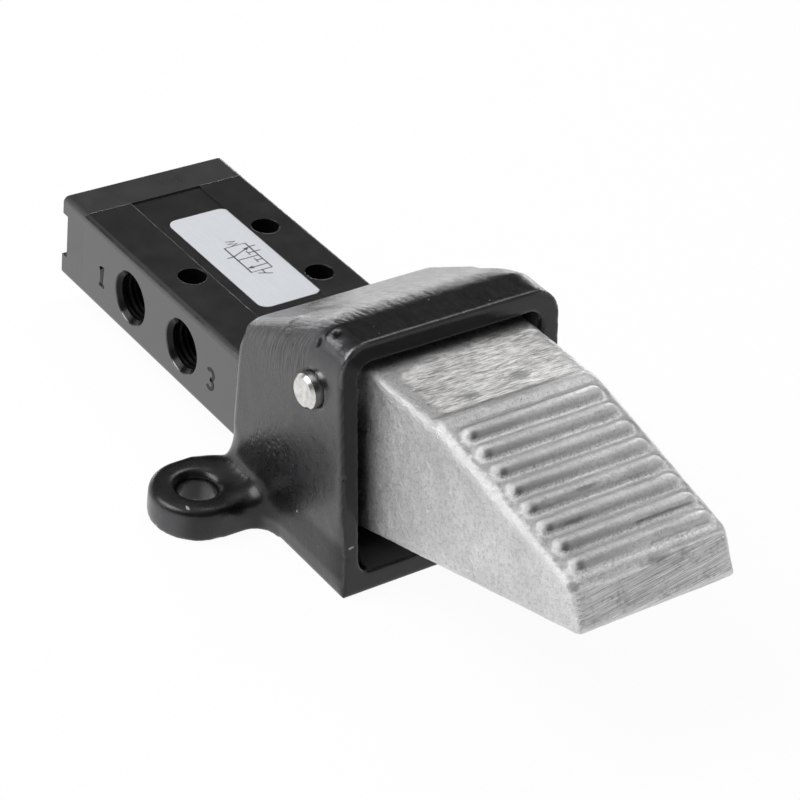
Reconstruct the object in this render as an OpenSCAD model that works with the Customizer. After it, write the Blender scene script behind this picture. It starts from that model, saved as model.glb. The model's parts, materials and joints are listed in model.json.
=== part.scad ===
// Foot pedal air valve: a three-port spool valve worked by a hinged foot pedal.
// Millimetres, +Z up. The origin lies on the floor, midway between the two floor ear holes.
// The pedal's toe points along -Y and the valve body runs back along +Y.

/* [Housing] */
// Width of the housing over its side walls
housing_w = 58.2; // [54:0.2:70]
// Length of the housing's base, from its front edge to its rear face
housing_depth = 48; // [46:0.5:60]
// Height of the flat brow over the mouth
housing_h = 58.8; // [57:0.2:70]
// Fall of the roof from the brow to the rear face
roof_fall = 15.3; // [10:0.1:20]
// Depth of the flat brow, from the front face back to the ridge
brow_depth = 12; // [6:0.5:16]
// Backward lean of the front face, in degrees
front_lean = 9.1; // [0:0.1:11]
// Thickness of the side walls
housing_wall = 4.7; // [3:0.1:5.2]
// Thickness of the floor
housing_floor = 4.5; // [3:0.1:5]
// Thickness of the roof
housing_roof = 4.8; // [3:0.1:5.2]
// Thickness of the rear wall that carries the valve
housing_rear_wall = 6; // [4:0.5:7]
// Rounding of the long top edges
housing_edge_r = 7; // [3:0.5:8]
// Rounding of the ridge between the brow and the roof
ridge_r = 12; // [9:0.5:16]
// Rounding of the mouth's corners
mouth_corner_r = 3.5; // [1:0.5:6]

/* [Floor ears] */
// Distance between the two floor bolt holes
ear_pitch = 81; // [76:0.5:100]
// Distance from the housing's front bottom edge back to the line of the holes
ear_setback = 41.5; // [30:0.5:44]
// Radius of an ear's round tip
ear_r = 11; // [8:0.5:14]
// Thickness of an ear
ear_t = 8; // [6:0.5:11]
// Rounding of an ear's upper edge
ear_edge_r = 2; // [0.5:0.25:3]
// Diameter of a floor bolt hole
ear_hole_d = 9; // [6:0.5:11]
// Width of the bevelled rim round a floor bolt hole
ear_hole_rim = 1.4; // [0.4:0.2:2]
// Hollow rounding, seen from above, between an ear and the side wall
ear_web_r = 6.5; // [3:0.5:9]
// Hollow rounding between an ear's top and the side wall
ear_root_r = 4; // [2:0.5:6]

/* [Pivot] */
// Distance of the pivot behind the housing's front bottom edge
pivot_back = 18; // [16.5:0.1:20]
// Depth of the pivot below the top of the pedal's ramp
pivot_drop = 8.5; // [7.5:0.1:9.5]
// Diameter of the pivot pin
pin_d = 8; // [5:0.25:9]
// How far each end of the pin stands out of the side wall
pin_proud = 2.4; // [1:0.2:5]
// Chamfer at the ends of the pin
pin_chamfer = 0.7; // [0.2:0.1:1]

/* [Pedal] */
// Width of the pedal at the pivot
pedal_w = 44; // [38:0.5:46]
// Width of the pedal across its toe
toe_w = 41.2; // [34:0.2:44]
// How far the toe reaches in front of the housing's front bottom edge
toe_reach = 65.2; // [50:0.2:80]
// Depth of the toe's lower edge below the top of the ramp
toe_drop = 19.6; // [16:0.1:24]
// Length of the toe's front face
toe_face = 10.9; // [8:0.1:14]
// Lean of the toe's front face from the vertical, in degrees
toe_lean = 27; // [10:0.5:35]
// How far the top of the ramp lies in front of the housing's front bottom edge
ramp_front = 15; // [8:0.5:20]
// Gap between the height of the ramp's top and the mouth's upper edge
ramp_gap = 1.3; // [0.8:0.1:4]
// Depth by which the flat behind the ramp is ground below it
flat_drop = 0.7; // [0.2:0.1:1]
// Length of the ramp's surface that is left level behind its top, up to the flat
flat_ridge = 2.5; // [1:0.5:5]
// Rounding of the pedal's upper edges
pedal_edge_r = 1.6; // [1:0.1:3]
// Rounding of the pedal's lower edges
sole_edge_r = 1.2; // [0.6:0.1:2]
// Thickness of the pedal's cast walls
pedal_wall = 4.8; // [3:0.1:7]
// Thickness of the pedal's tread plate
tread_t = 6; // [4:0.5:9]
// Thickness of the pedal's heel behind the hollow
heel_t = 10; // [6:0.5:12]
// Diameter of the bosses that centre the pedal between the housing's walls
boss_d = 13; // [11:0.5:14]
// Gap between a boss and the housing's wall
boss_gap = 0.3; // [0.1:0.05:0.6]
// Radius of the heel's round nose and of its upper end round the pin
heel_r = 8; // [6:0.25:8.5]
// Swing of the pedal from rest to its stop, in degrees
pedal_swing = 10; // [6:0.5:12]

/* [Tread ribs] */
// Number of ribs across the ramp
rib_count = 8; // [3:1:8]
// Distance from one rib to the next
rib_pitch = 5.4; // [4.6:0.1:5.6]
// Distance of the first rib below the top of the ramp
rib_first = 4.5; // [3.6:0.1:6]
// Width of a rib
rib_w = 3.9; // [2:0.1:4.4]
// Height of a rib
rib_h = 1.5; // [0.6:0.1:1.9]
// Length of a rib
rib_l = 37; // [24:0.5:38]
// Radius to which a rib's top runs down at its ends
rib_end_r = 2.4; // [2.2:0.1:8]

/* [Valve body] */
// Width of the valve body
body_w = 45.5; // [45:0.5:52]
// Height of the valve body
body_h = 22; // [22:0.5:26]
// Length of the valve body without its end cap
body_l = 76; // [76:0.5:90]
// Height of the valve body's underside above the floor
body_base = 6.6; // [5.5:0.1:8]
// Rounding of the body's long edges
body_edge_r = 1.5; // [0.5:0.1:2.5]
// Width of the shallow label track along the body's top
track_w = 19.6; // [10:0.2:20]
// Depth of the label track
track_depth = 0.4; // [0.2:0.1:0.8]

/* [Ports] */
// Diameter of a port's threaded wall
port_d = 11.4; // [8:0.1:11.6]
// Diameter of the bevel at a port's mouth
port_mouth_d = 13.9; // [12:0.1:14.5]
// Depth of a port's threaded wall
port_depth = 12.2; // [8:0.1:12.4]
// Diameter of the drilling from a port to the spool bore
port_drill_d = 4; // [3:0.25:4]
// Distance between the two ports on one side
port_pitch = 23.2; // [22.4:0.1:24]
// Distance of the middle port behind the body's front face
port_back = 42; // [41:0.25:43]

/* [Body bolts] */
// Diameter of the bolt holes down through the body
body_bolt_d = 7; // [4:0.25:7]
// Distance between the two bolt holes on one side
body_bolt_pitch = 23.5; // [22:0.25:26]
// Distance of the bolt holes from the body's middle line
body_bolt_x = 14; // [13.5:0.1:15]
// Distance of the bolt pattern's middle behind the body's front face
body_bolt_back = 40.7; // [40:0.1:42.5]

/* [Spool] */
// Diameter of the spool bore
bore_d = 14; // [13:0.25:15]
// Diameter of the ring recess in the bore at each port
recess_d = 17; // [16:0.25:18]
// Width of the ring recess at each port
recess_w = 4; // [3:0.25:4.5]
// Diameter of the spool between its lands
waist_d = 8; // [6:0.25:9]
// Width of a spool land
land_w = 4.4; // [4:0.1:5]
// Thickness of a spool seal's cord
seal_wire = 2.2; // [1.6:0.1:2.6]
// Distance from an inner land to the outer land beside it
outer_land_gap = 11.4; // [9:0.2:12]
// Distance past a recess at which a land seals it
seal_cover = 1.8; // [1.4:0.1:2.4]
// Radial clearance of everything that runs in a bore
running_gap = 0.05; // [0.02:0.01:0.08]

/* [Plunger and gland] */
// Diameter of the plunger
plunger_d = 8; // [6:0.25:9]
// Gap between the plunger and the pedal's heel at rest
heel_gap = 0.3; // [0.1:0.05:0.5]
// Diameter of the plunger's collar
collar_d = 12; // [10:0.25:12.5]
// Length of the plunger's collar
collar_l = 3; // [2:0.25:4]
// Diameter of the gland that guides the plunger
gland_d = 18; // [16.5:0.25:20]
// Length of the gland
gland_l = 9; // [8:0.25:10]
// Thickness of the cord of the gland's seals
gland_wire = 1.8; // [1.2:0.1:2]
// Gap between the plunger's collar and the gland
collar_gap = 0.3; // [0.1:0.05:0.5]

/* [End cap and spring] */
// Length of the end cap
cap_l = 9.8; // [9.4:0.1:14]
// Height of the channel across the end cap's rear face
channel_h = 11.5; // [9:0.5:13]
// Depth of the channel
channel_depth = 2.2; // [1:0.1:2.6]
// Height of the channel's middle above the spool axis
channel_rise = 0.7; // [0:0.1:1]
// Diameter of the spring pocket in the end cap
pocket_d = 12.4; // [11.6:0.1:13.5]
// Depth of the spring pocket
pocket_depth = 5; // [3:0.25:5.4]
// Mean diameter of the return spring
spring_d = 9.2; // [8.6:0.1:9.8]
// Thickness of the spring wire
spring_wire = 1.4; // [0.8:0.1:1.6]
// Number of turns of the return spring
spring_turns = 5; // [3:1:6]
// Mean diameter of the end cap's seal
cap_seal_d = 17.6; // [17:0.1:18.6]

/* [Screws] */
// Distance between the two screws at either end of the body
screw_pitch = 31; // [29:0.5:34]
// Diameter of the screws that hold the housing
housing_screw_d = 5; // [4:0.25:5]
// Diameter of the screws that hold the end cap
cap_screw_d = 4; // [3:0.25:4.5]
// Depth to which the screws go into the body
screw_bite = 11; // [8:0.5:12]
// Thickness of the spring washers under the housing screws
washer_t = 1.2; // [0.8:0.1:1.6]

/* [Hidden] */
$fn = 64;
// Extra reach of a cutting shape past the face that it cuts
over = 1;
// Small clearance between pieces of one body that lie against each other
fit_gap = 0.02;
// Play, across the diameter, of a screw in its hole, of the plunger in the rear wall and of the spring seat
screw_play = 0.4;
plunger_play = 2;
seat_play = 1;
// Radial room round a spool land and inside the spring, and the room beside a seal in its groove
land_room = 0.4;
spring_room = 0.4;
seal_room = 0.2;
// Facets round the pedal's and the ears' small roundings
edge_facets = 24;
// Depth by which a rounding runs into the face that it meets, and the angle by which the ridge's cut
// reaches past its arc
blend = 0.05;
ridge_blend = 3;

// Stations of the housing along Y and its roof angle
front_y = -ear_setback;
rear_y = front_y + housing_depth;
lean = tan(front_lean);
ridge_y = front_y + lean * housing_h + brow_depth;
roof_angle = atan(roof_fall / (rear_y - ridge_y));
mouth_w = housing_w - 2 * housing_wall;
inner_rear_y = rear_y - housing_rear_wall;

// The top of the ramp, the pivot, the spool's axis and the stroke that the pedal gives the spool
ramp_h = housing_h - housing_roof - ramp_gap;
pivot_y = front_y + pivot_back;
pivot_h = ramp_h - pivot_drop;
axis_z = body_base + body_h / 2;
lever = pivot_h - axis_z;
stroke = lever * pedal_swing * PI / 180;

// Ports from the pedal end to the cap end: exhaust, outlet and supply
body_end_y = rear_y + body_l;
outlet_y = rear_y + port_back;
exhaust_y = outlet_y - port_pitch / 2;
supply_y = outlet_y + port_pitch / 2;
bolt_mid_y = rear_y + body_bolt_back;

// Stations of the plunger and of the spool's lands at rest
heel_y = pivot_y + heel_r + heel_gap;
collar_y = rear_y + gland_l + collar_gap;
spool_y = collar_y + collar_l;
land_2_y = exhaust_y + recess_w / 2 + seal_cover - stroke;
land_3_y = supply_y - recess_w / 2 - seal_cover;
land_y = [land_2_y - outer_land_gap, land_2_y, land_3_y, land_3_y + outer_land_gap];
land_r = bore_d / 2 - land_room;
seal_r = bore_d / 2 - running_gap - seal_wire / 2;
seal_floor_r = seal_r - seal_wire / 2 - fit_gap;
seal_groove_w = seal_wire + seal_room;
spool_end_y = land_y[3] + land_w / 2;
spigot_r = spring_d / 2 - spring_wire / 2 - spring_room;
spigot_l = 2.4;
seat_t = 1.2;
spring_start_y = spool_end_y + seat_t;
pocket_y = body_end_y + pocket_depth;

// Stations of the gland's two seals: the wiper near its front and the outer seal behind its middle
wiper_y = rear_y + 0.25 * gland_l;
gland_seal_y = rear_y + 0.62 * gland_l;

// Screw heads follow the usual proportions of a socket head screw
function head_d(d) = 1.65 * d;
function head_l(d) = d;
function socket_af(d) = 0.8 * d;
// Seats of the end cap's screw heads, which lie for three quarters below the channel's floor
head_seat_y = body_end_y + cap_l - channel_depth - 0.75 * head_l(cap_screw_d);

// Outline of the pedal's side, seen along X: toe bottom, toe top, ramp top, rear top, rear bottom
toe_low = [front_y - toe_reach, ramp_h - toe_drop];
toe_top = toe_low + toe_face * [sin(toe_lean), cos(toe_lean)];
ramp_top = [front_y - ramp_front, ramp_h];
shell_rear_y = pivot_y - heel_r / 4;
heel_low = [shell_rear_y, axis_z - heel_r + over / 2];
pedal_outline = [toe_low, toe_top, ramp_top, [shell_rear_y, ramp_h], heel_low];
pedal_corner_r = [sole_edge_r, pedal_edge_r, pedal_edge_r, pedal_edge_r, sole_edge_r];
flat_h = ramp_h - flat_drop;
ramp_angle = atan2(ramp_top[1] - toe_top[1], ramp_top[0] - toe_top[0]);
// Half width of the pedal at a station along Y
function pedal_half(y) = (toe_w + (pedal_w - toe_w) * (y - toe_low[0]) / (pivot_y - toe_low[0])) / 2;

// Corner b of a convex outline that runs a, b, c, moved inwards so that it lies r from both edges
function unit(v) = v / norm(v);
function inset(a, b, c, r) =
    let (u = unit(a - b), v = unit(c - b), half = acos(u * v) / 2)
    b + unit(u + v) * r / sin(half);

// Extrudes an outline drawn in Y and Z evenly to both sides of the middle plane
module along_x(length) {
    rotate([90, 0, 90]) linear_extrude(length, center = true) children();
}

// Extrudes an outline drawn in X and Z from one station along Y to another
module along_y(y0, y1) {
    translate([0, y1, 0]) rotate([90, 0, 0]) linear_extrude(y1 - y0) children();
}

// A cylinder along the valve's axis line, moved sideways by x
module rod_y(d, y0, y1, x = 0) {
    translate([x, y0, axis_z]) rotate([-90, 0, 0]) cylinder(d = d, h = y1 - y0);
}

// Turns a profile of radius and station along Y round the valve's axis line
module turned() {
    translate([0, 0, axis_z]) rotate([-90, 0, 0]) rotate_extrude() children();
}

// A ring of round cord round the valve's axis line
module cord_ring(mean_r, wire, y) {
    turned() translate([mean_r, y]) circle(d = wire);
}

// A rectangle with rounded corners about the origin
module rounded_rect(w, h, r) {
    square([w - 2 * r, h], center = true);
    square([w, h - 2 * r], center = true);
    for (x = [-1, 1], y = [-1, 1]) translate([x * (w / 2 - r), y * (h / 2 - r)]) circle(r);
}

// A socket head screw along +Y, with its head's bearing face at y
module socket_screw(d, x, y, length) {
    difference() {
        union() {
            rod_y(d, y - fit_gap, y + length, x);
            rod_y(head_d(d), y - head_l(d), y, x);
        }
        translate([x, y - head_l(d) - over, axis_z]) rotate([-90, 0, 0])
            cylinder(d = socket_af(d) / cos(30), h = head_l(d) / 2 + over, $fn = 6);
    }
}

// Outline, in X and Z, of a block with two rounded top corners and its top at z
module arched(w, top, bottom) {
    translate([-w / 2, bottom]) square([w, top - housing_edge_r - bottom]);
    translate([housing_edge_r - w / 2, bottom]) square([w - 2 * housing_edge_r, top - bottom]);
    for (side = [-1, 1])
        translate([side * (w / 2 - housing_edge_r), top - housing_edge_r]) circle(housing_edge_r);
}

// Side outline of the housing between its leaning front and its rear, with a rounded ridge
module housing_side() {
    reach = 3 * ridge_r;
    arc = [ridge_y - ridge_r * tan(roof_angle / 2), housing_h - ridge_r];
    far = housing_h + reach;
    difference() {
        polygon([
            [front_y - lean * over, -over], [rear_y, -over], [rear_y, far], [front_y + lean * far, far]
        ]);
        translate(arc) difference() {
            polygon([
                [0, 0], reach * [-sin(ridge_blend), cos(ridge_blend)], [reach * sin(roof_angle), 2 * reach],
                reach * [sin(roof_angle + ridge_blend), cos(roof_angle + ridge_blend)]
            ]);
            circle(ridge_r + blend);
        }
    }
}

// The housing's block: the flat brow, the sloping roof and the side outline cut from one another
module housing_block() {
    intersection() {
        along_y(front_y - over, rear_y + over) arched(housing_w, housing_h, 0);
        translate([0, ridge_y, housing_h]) rotate([-roof_angle, 0, 0])
            along_y(-2 * housing_depth, 2 * housing_depth) arched(housing_w + 2 * blend, 0, -3 * housing_h);
        along_x(housing_w + 2 * over) housing_side();
    }
}

// The hollow that the pedal's heel works in, open at the mouth
module housing_hollow() {
    top = housing_h - housing_roof;
    inner_ridge_y = ridge_y - housing_roof * tan(roof_angle / 2);
    mouth_y = front_y - over;
    climb = (inner_ridge_y - mouth_y) * tan(roof_angle);
    intersection() {
        along_x(mouth_w + 2 * over) polygon([
            [mouth_y - over, 0], [inner_rear_y, 0],
            [inner_rear_y, top - (inner_rear_y - inner_ridge_y) * tan(roof_angle)],
            [mouth_y, top + climb], [mouth_y - over, top + climb]
        ]);
        along_y(mouth_y, rear_y) translate([0, (housing_floor + top) / 2])
            rounded_rect(mouth_w, top - housing_floor, mouth_corner_r);
    }
}

// Half the section of an ear through its tip, with a rounded upper edge
module ear_section() {
    square([ear_r - ear_edge_r, ear_t]);
    square([ear_r, ear_t - ear_edge_r]);
    translate([ear_r - ear_edge_r, ear_t - ear_edge_r]) circle(ear_edge_r, $fn = edge_facets);
}

// The hollow corner, seen from above, in front of an ear on the +X side
module ear_web() {
    corner = [housing_w / 2, -ear_r];
    difference() {
        translate(corner - [over, ear_web_r]) square([ear_web_r, ear_web_r] + [over, ear_edge_r]);
        translate(corner + (ear_web_r - blend) * [1, -1]) circle(ear_web_r);
    }
}

// One floor ear on the +X side: a round tip, its arm and the hollow roundings against the wall
module ear() {
    root_x = housing_w / 2 - housing_wall / 2;
    tip_x = ear_pitch / 2;
    hull() {
        translate([tip_x, 0, 0]) rotate_extrude($fn = 2 * edge_facets) ear_section();
        translate([root_x + over / 2, 0, 0]) along_x(over)
            for (side = [0, 1]) mirror([side, 0]) ear_section();
    }
    linear_extrude(ear_t - ear_edge_r) ear_web();
    intersection() {
        along_y(-ear_r - ear_web_r, rear_y - over) difference() {
            translate([root_x, ear_t - 2 * ear_edge_r])
                square([housing_w / 2 + ear_root_r - root_x, ear_root_r + 2 * ear_edge_r]);
            translate([housing_w / 2, ear_t] + (ear_root_r - blend) * [1, 1]) circle(ear_root_r);
        }
        linear_extrude(housing_h) {
            ear_web();
            translate([root_x, -ear_r + ear_edge_r / 2]) square([tip_x - root_x, 2 * ear_r]);
        }
    }
}

// Cutter for a floor bolt hole with its bevelled rim
module ear_hole() {
    translate([ear_pitch / 2, 0, -over]) cylinder(d = ear_hole_d, h = ear_t + 2 * over);
    translate([ear_pitch / 2, 0, ear_t - ear_hole_rim])
        cylinder(d1 = ear_hole_d, d2 = ear_hole_d + 2 * (ear_hole_rim + over), h = ear_hole_rim + over);
}

module pedal_housing() {
    color("#1c1c1d") difference() {
        union() {
            housing_block();
            for (side = [0, 1]) mirror([side, 0, 0]) ear();
        }
        housing_hollow();
        for (side = [0, 1]) mirror([side, 0, 0]) ear_hole();
        translate([0, pivot_y, pivot_h]) rotate([0, 90, 0])
            cylinder(d = pin_d + 2 * fit_gap, h = housing_w + 2 * over, center = true);
        rod_y(plunger_d + plunger_play, inner_rear_y - over, rear_y + over);
        for (side = [-1, 1])
            rod_y(housing_screw_d + screw_play, inner_rear_y - over, rear_y + over, side * screw_pitch / 2);
    }
}

// The pedal's tapered shell with all its edges rounded
module pedal_shell() {
    last = len(pedal_outline) - 1;
    hull() for (i = [0:last], side = [-1, 1]) {
        before = pedal_outline[i == 0 ? last : i - 1];
        after = pedal_outline[i == last ? 0 : i + 1];
        r = pedal_corner_r[i];
        corner = inset(before, pedal_outline[i], after, r);
        translate([side * (pedal_half(corner[0]) - r), corner[0], corner[1]]) sphere(r, $fn = edge_facets);
    }
}

// Outline of the heel in Y and Z: the boss round the pin, and the nose that pushes the plunger
module heel_side() {
    translate([pivot_y, pivot_h]) circle(heel_r);
    translate([pivot_y, axis_z]) circle(heel_r);
    translate([pivot_y + heel_r - heel_t, axis_z]) square([heel_t - blend, lever]);
}

// The cast hollow under the tread, open below
module pedal_hollow() {
    roof_drop = tread_t / cos(ramp_angle);
    toe_in = toe_low[0] + pedal_wall / cos(toe_lean) + toe_face * sin(toe_lean);
    ramp_under = ramp_top - [0, roof_drop];
    along_x(toe_w - 2 * pedal_wall) polygon([
        [toe_in, ramp_under[1] + (toe_in - ramp_under[0]) * tan(ramp_angle)], ramp_under,
        [pivot_y + heel_r, ramp_under[1]], [pivot_y + heel_r, 0], [toe_in, 0]
    ]);
}

// One raised rib with a round top and rounded ends, at a distance down the ramp
module rib(down) {
    round_r = (pow(rib_w / 2, 2) + pow(rib_h, 2)) / (2 * rib_h);
    end_reach = sqrt(pow(rib_end_r, 2) - pow(rib_end_r - rib_h, 2));
    middle_l = rib_l - 2 * end_reach;
    translate([0, ramp_top[0], ramp_top[1]]) rotate([ramp_angle, 0, 0])
        translate([0, -down, rib_h - round_r]) rotate([0, 90, 0]) rotate_extrude() intersection() {
            union() {
                translate([0, -middle_l / 2]) square([round_r, middle_l]);
                for (end = [-1, 1])
                    translate([round_r - rib_end_r, end * middle_l / 2]) circle(rib_end_r);
            }
            translate([0, -rib_l]) square([round_r, 2 * rib_l]);
        }
}

module pedal() {
    flat_y = ramp_top[0] + flat_ridge;
    color("#b4b4b2") difference() {
        union() {
            difference() {
                pedal_shell();
                pedal_hollow();
            }
            for (i = [0:rib_count - 1]) rib(rib_first + i * rib_pitch);
            along_x(pedal_w - 2 * over) heel_side();
            translate([0, pivot_y, pivot_h]) rotate([0, 90, 0])
                cylinder(d = boss_d, h = mouth_w - 2 * boss_gap, center = true);
        }
        translate([-pedal_w, flat_y, flat_h]) cube([2 * pedal_w, rear_y - flat_y, housing_h]);
        translate([0, pivot_y, pivot_h]) rotate([0, 90, 0])
            cylinder(d = pin_d + 2 * running_gap, h = housing_w, center = true);
    }
}

module pivot_pin() {
    pin_l = housing_w + 2 * pin_proud;
    color("#c8c8c6") translate([0, pivot_y, pivot_h]) rotate([0, 90, 0]) rotate_extrude() polygon([
        [0, -pin_l / 2], [pin_d / 2 - pin_chamfer, -pin_l / 2], [pin_d / 2, pin_chamfer - pin_l / 2],
        [pin_d / 2, pin_l / 2 - pin_chamfer], [pin_d / 2 - pin_chamfer, pin_l / 2], [0, pin_l / 2]
    ]);
}

// Section of the valve body's bar and of its end cap, in X and Z
module bar_section() {
    translate([0, axis_z]) rounded_rect(body_w, body_h, body_edge_r);
}

// The bar's section with the shallow label track, which the end cap closes off
module body_section() {
    difference() {
        bar_section();
        translate([0, axis_z + body_h / 2 + over - track_depth]) square([track_w, 2 * over], center = true);
    }
}

// Cutter for a port on one side, with its bevelled mouth, and the drilling to the spool bore
module port(side, y) {
    bevel = (port_mouth_d - port_d) / 2;
    translate([side * body_w / 2, y, axis_z]) rotate([0, -90 * side, 0]) {
        translate([0, 0, -over]) cylinder(d = port_d, h = port_depth + over);
        translate([0, 0, -over]) cylinder(d1 = port_mouth_d + 2 * over, d2 = port_d, h = bevel + over);
        cylinder(d = port_drill_d, h = body_w / 2);
    }
}

// The three bolt holes down through the body: one on the left and two on the right
module body_bolts() {
    spots = [[-body_bolt_x, 0], [body_bolt_x, -body_bolt_pitch / 2], [body_bolt_x, body_bolt_pitch / 2]];
    for (spot = spots) translate([spot[0], bolt_mid_y + spot[1], body_base - over])
        cylinder(d = body_bolt_d, h = body_h + 2 * over);
}

module valve_body() {
    color("#161618") difference() {
        along_y(rear_y, body_end_y) body_section();
        rod_y(bore_d, rear_y - over, body_end_y + over);
        rod_y(gland_d + 2 * fit_gap, rear_y - over, rear_y + gland_l);
        for (y = [exhaust_y, outlet_y, supply_y]) rod_y(recess_d, y - recess_w / 2, y + recess_w / 2);
        port(-1, exhaust_y);
        port(-1, supply_y);
        port(1, outlet_y);
        body_bolts();
        cord_groove(cap_seal_d / 2, gland_wire, body_end_y);
        for (side = [-1, 1]) {
            x = side * screw_pitch / 2;
            rod_y(housing_screw_d + 2 * fit_gap, rear_y - over, rear_y + screw_bite + over, x);
            rod_y(cap_screw_d + 2 * fit_gap, body_end_y - screw_bite - over, body_end_y + over, x);
        }
    }
}

// Ring groove for a cord seal, sunk into a face at y
module cord_groove(mean_r, wire, y) {
    half = wire / 2 + fit_gap;
    turned() translate([mean_r - half, y - 2 * half]) square([2 * half, 2 * half + over]);
}

module end_cap() {
    color("#1f1f20") difference() {
        along_y(body_end_y, body_end_y + cap_l) bar_section();
        translate([0, body_end_y + cap_l, axis_z + channel_rise])
            cube([body_w + 2 * over, 2 * channel_depth, channel_h], center = true);
        rod_y(pocket_d, body_end_y - over, pocket_y);
        for (side = [-1, 1]) {
            x = side * screw_pitch / 2;
            rod_y(cap_screw_d + screw_play, body_end_y - over, body_end_y + cap_l, x);
            rod_y(head_d(cap_screw_d) + screw_play, head_seat_y, body_end_y + cap_l, x);
        }
    }
}

module end_cap_screws() {
    length = head_seat_y - body_end_y + screw_bite;
    color("#3a3a3c") for (side = [-1, 1])
        translate([0, 2 * head_seat_y, 0]) mirror([0, 1, 0])
            socket_screw(cap_screw_d, side * screw_pitch / 2, head_seat_y, length);
}

module end_cap_seal() {
    color("#101010") cord_ring(cap_seal_d / 2, gland_wire, body_end_y - gland_wire / 2 - fit_gap);
}

module plunger_gland() {
    slot = gland_wire + 2 * fit_gap;
    wiper_r = plunger_d / 2 + running_gap + gland_wire;
    color("#a8894a") difference() {
        rod_y(gland_d, rear_y, rear_y + gland_l - fit_gap);
        rod_y(plunger_d + 2 * running_gap, rear_y - over, rear_y + gland_l + over);
        rod_y(2 * (wiper_r + fit_gap), wiper_y - slot / 2, wiper_y + slot / 2);
        turned() translate([gland_d / 2 - slot, gland_seal_y - slot / 2]) square([slot + over, slot]);
    }
}

module gland_seal() {
    color("#101010") cord_ring(gland_d / 2 - gland_wire / 2, gland_wire, gland_seal_y);
}

module plunger_wiper() {
    color("#101010") cord_ring(plunger_d / 2 + running_gap + gland_wire / 2, gland_wire, wiper_y);
}

module plunger() {
    tip_r = plunger_d / 2;
    bevel = 1;
    color("#c4c4c2") turned() polygon([
        [0, heel_y], [tip_r - bevel, heel_y], [tip_r, heel_y + bevel], [tip_r, collar_y],
        [collar_d / 2, collar_y], [collar_d / 2, spool_y], [0, spool_y]
    ]);
}

module spool() {
    color("#c0c2c4") difference() {
        union() {
            rod_y(waist_d, spool_y, spool_end_y);
            for (y = land_y) rod_y(2 * land_r, y - land_w / 2, y + land_w / 2);
            rod_y(2 * spigot_r, spool_end_y, spring_start_y + spigot_l);
        }
        for (y = land_y) turned() translate([seal_floor_r, y - seal_groove_w / 2])
            square([bore_d, seal_groove_w]);
    }
}

module spool_seal(i) {
    color("#121212") cord_ring(seal_r, seal_wire, land_y[i]);
}
module spool_seal_1() { spool_seal(0); }
module spool_seal_2() { spool_seal(1); }
module spool_seal_3() { spool_seal(2); }
module spool_seal_4() { spool_seal(3); }

module spring_seat() {
    color("#b8b8b6") difference() {
        rod_y(bore_d - seat_play, spool_end_y, spring_start_y);
        rod_y(2 * (spigot_r + fit_gap), spool_end_y - over, spring_start_y + over);
    }
}

// A coil of round wire round the valve's axis, from the spring seat to the floor of the cap's pocket
module return_spring() {
    sides = 8;
    steps_per_turn = 16;
    steps = spring_turns * steps_per_turn;
    half = spring_wire / 2 + fit_gap;
    start = spring_start_y + half;
    rise = (pocket_y - half - start) / steps;
    ring = [for (i = [0:steps]) let (a = i * 360 / steps_per_turn) [
        for (j = [0:sides - 1])
            let (b = j * 360 / sides, r = spring_d / 2 + spring_wire / 2 * cos(b))
            [r * cos(a), start + i * rise + spring_wire / 2 * sin(b), axis_z + r * sin(a)]
    ]];
    skin = [for (i = [0:steps - 1], j = [0:sides - 1], half_face = [0, 1])
        let (k = (j + 1) % sides, a = i * sides, b = (i + 1) * sides)
        half_face == 0 ? [a + j, a + k, b + k] : [a + j, b + k, b + j]
    ];
    ends = [[for (j = [0:sides - 1]) sides - 1 - j], [for (j = [0:sides - 1]) steps * sides + j]];
    color("#9c9ea0") polyhedron([for (r = ring) each r], concat(skin, ends));
}

module housing_screws() {
    length = washer_t + housing_rear_wall + screw_bite;
    color("#3a3a3c") for (side = [-1, 1])
        socket_screw(housing_screw_d, side * screw_pitch / 2, inner_rear_y - washer_t, length);
}

module housing_washers() {
    slit = 0.8;
    color("#8e9092") for (x = [-screw_pitch / 2, screw_pitch / 2]) difference() {
        rod_y(head_d(housing_screw_d), inner_rear_y - washer_t + fit_gap, inner_rear_y, x);
        rod_y(housing_screw_d + screw_play, inner_rear_y - 2 * washer_t, inner_rear_y + over, x);
        translate([x, inner_rear_y, axis_z + housing_screw_d])
            cube([slit, 4 * washer_t, 2 * housing_screw_d], center = true);
    }
}

pedal_housing();
pedal();
pivot_pin();
valve_body();
end_cap();
end_cap_screws();
end_cap_seal();
plunger_gland();
gland_seal();
plunger_wiper();
plunger();
spool();
spool_seal_1();
spool_seal_2();
spool_seal_3();
spool_seal_4();
spring_seat();
return_spring();
housing_screws();
housing_washers();
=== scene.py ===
# Looks of the foot pedal air valve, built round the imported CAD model.
# Lengths are in metres. Names that end in _mm, and the castings' masks, are in millimetres.

import json
import math

import bmesh
import bpy
import numpy as np
from mathutils import Matrix, Vector


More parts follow.
